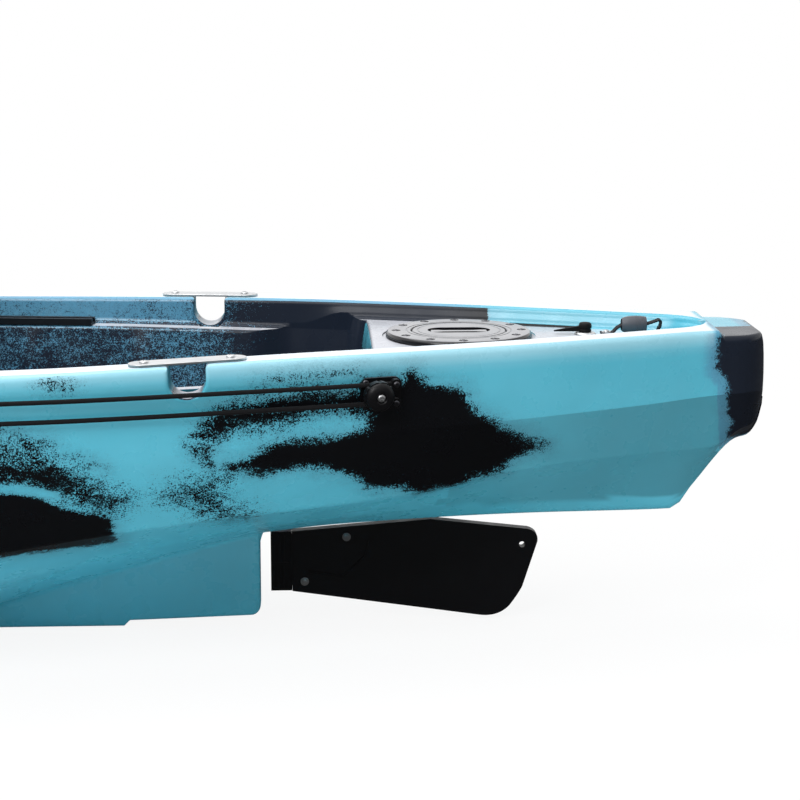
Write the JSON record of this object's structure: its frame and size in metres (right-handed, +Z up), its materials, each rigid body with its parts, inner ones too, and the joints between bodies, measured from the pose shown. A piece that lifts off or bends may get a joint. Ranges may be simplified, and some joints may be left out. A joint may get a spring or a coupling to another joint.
{
  "type": "pedal kayak",
  "caption": "Sit-on-top pedal kayak with a moulded hull, under-hull rudder, folding seat back, front hatch, and a raised propeller drive turned by pedals.",
  "frame": {"origin": "middle of the footprint of the whole kayak, on the flat of the keel", "axes": "+X towards the bow, +Y to port, +Z up"},
  "size_m": [3.6, 0.8, 0.7304],
  "materials": {
    "hull_plastic": "moulded polyethylene, turquoise with black camouflage patches, semi-gloss",
    "black_plastic": "black moulded plastic, slight sheen",
    "black_rubber": "matt black rubber",
    "grey_rubber": "matt grey rubber",
    "stainless": "brushed stainless steel",
    "aluminium": "satin aluminium",
    "black_alloy": "black anodised alloy",
    "webbing": "black woven webbing",
    "shock_cord": "black braided shock cord",
    "mesh_cloth": "charcoal mesh cloth"
  },
  "bodies": {
    "hull_body": {"hull_stern": "hull_plastic", "hull_tankwell": "hull_plastic", "hull_seat": "hull_plastic", "hull_slot": "hull_plastic", "hull_footwell": "hull_plastic", "hull_bow": "hull_plastic", "deck_plate_flange": "black_plastic", "deck_plate_seal": "black_rubber", "bridge_plate_port": "stainless", "bridge_plate_starboard": "stainless", "track_port": "black_alloy", "track_starboard": "black_alloy", "keeper_base": "black_plastic", "keeper_knob": "black_plastic", "keeper_front_eye": "black_plastic", "keeper_cord": "shock_cord", "stern_handle_grip": "grey_rubber", "stern_handle_strap": "webbing", "bow_handle_grip": "grey_rubber", "bow_handle_strap": "webbing", "drain_plug_seat": "black_plastic", "hatch_seal": "black_rubber", "hatch_pin": "stainless", "seat_frame": "aluminium", "seat_cushion": "mesh_cloth", "rod_holder_port": "black_plastic", "rod_holder_starboard": "black_plastic", "rudder_bush_lower": "grey_rubber", "rudder_bush_upper": "grey_rubber", "steering_bracket": "black_plastic", "drive_dock": "aluminium"},
    "deck_lid": {"deck_plate_lid": "black_plastic"},
    "plug": {"drain_plug": "black_rubber"},
    "front_hatch": {"hatch_lid": "hull_plastic"},
    "latch_port": {"hatch_latch_port": "black_plastic"},
    "latch_starboard": {"hatch_latch_starboard": "black_plastic"},
    "backrest": {"backrest_frame": "aluminium", "backrest_cushion": "mesh_cloth"},
    "rudder": {"rudder_stock": "black_plastic", "rudder_blade": "black_plastic", "rudder_bolt_fore": "stainless", "rudder_bolt_aft": "stainless", "rudder_tiller": "black_alloy"},
    "steering_lever": {"steering_handle": "black_plastic"},
    "drive_unit": {"drive_shell_port": "black_plastic", "drive_shell_starboard": "black_plastic", "drive_leg": "aluminium", "drive_arm": "black_alloy", "drive_pod": "black_alloy"},
    "crank": {"crank_shaft": "stainless", "crank_gear": "stainless", "crank_arm_port": "aluminium", "crank_arm_starboard": "aluminium"},
    "port_pedal": {"pedal_port": "black_plastic"},
    "starboard_pedal": {"pedal_starboard": "black_plastic"},
    "leg_drive": {"leg_shaft": "stainless", "leg_gear": "stainless", "lower_gear": "stainless"},
    "propeller_drive": {"prop_shaft": "stainless", "propeller": "black_plastic"}
  },
  "joints": [
    {"name": "deck_lid_twist", "type": "hinge", "parent": "hull_body", "child": "deck_lid", "pos_m": [-1.37, 0, 0.415], "axis": [0, 0, 1], "range_deg": [0, 90]},
    {"name": "drain_plug_turn", "type": "hinge", "parent": "hull_body", "child": "plug", "pos_m": [-1.548, 0, 0.42], "axis": [0, 0, 1], "range_deg": [-120, 120]},
    {"name": "hatch_open", "type": "hinge", "parent": "hull_body", "child": "front_hatch", "pos_m": [1.476, 0, 0.452], "axis": [0, 1, 0], "range_deg": [0, 110]},
    {"name": "latch_port_turn", "type": "hinge", "parent": "hull_body", "child": "latch_port", "pos_m": [1.114, 0.09, 0.45], "axis": [0, 0, 1], "range_deg": [0, 90]},
    {"name": "latch_starboard_turn", "type": "hinge", "parent": "hull_body", "child": "latch_starboard", "pos_m": [1.114, -0.09, 0.45], "axis": [0, 0, 1], "range_deg": [-90, 0]},
    {"name": "backrest_fold", "type": "hinge", "parent": "hull_body", "child": "backrest", "pos_m": [-0.412, 0, 0.4053], "axis": [0, 1, 0], "range_deg": [0, 80]},
    {"name": "rudder_steer", "type": "hinge", "parent": "hull_body", "child": "rudder", "pos_m": [-1.117, 0, 0.1], "axis": [0, 0, 1], "range_deg": [-35, 35]},
    {"name": "steering_turn", "type": "hinge", "parent": "hull_body", "child": "steering_lever", "pos_m": [0.22, 0.3236, 0.396], "axis": [0, 0, 1], "range_deg": [-35, 35]},
    {"name": "drive_tilt", "type": "hinge", "parent": "hull_body", "child": "drive_unit", "pos_m": [0.53, 0, 0.215], "axis": [0, -1, 0], "range_deg": [0, 90]},
    {"name": "crank_spin", "type": "hinge", "parent": "drive_unit", "child": "crank", "pos_m": [0.792, 0, 0.362], "axis": [0, 1, 0], "continuous": true},
    {"name": "pedal_port_spin", "type": "hinge", "parent": "crank", "child": "port_pedal", "pos_m": [0.957, 0.09, 0.362], "axis": [0, 1, 0], "continuous": true},
    {"name": "pedal_starboard_spin", "type": "hinge", "parent": "crank", "child": "starboard_pedal", "pos_m": [0.627, -0.09, 0.362], "axis": [0, 1, 0], "continuous": true},
    {"name": "leg_shaft_spin", "type": "hinge", "parent": "drive_unit", "child": "leg_drive", "pos_m": [0.5, 0, 0.362], "axis": [1, 0, 0], "continuous": true},
    {"name": "propeller_spin", "type": "hinge", "parent": "drive_unit", "child": "propeller_drive", "pos_m": [0.185, 0, 0.45], "axis": [0, 0, -1], "continuous": true}
  ],
  "couplings": [
    {"joint": "steering_turn", "follows": "rudder_steer", "ratio": 1},
    {"joint": "leg_shaft_spin", "follows": "crank_spin", "ratio": 3},
    {"joint": "propeller_spin", "follows": "crank_spin", "ratio": 6}
  ]
}
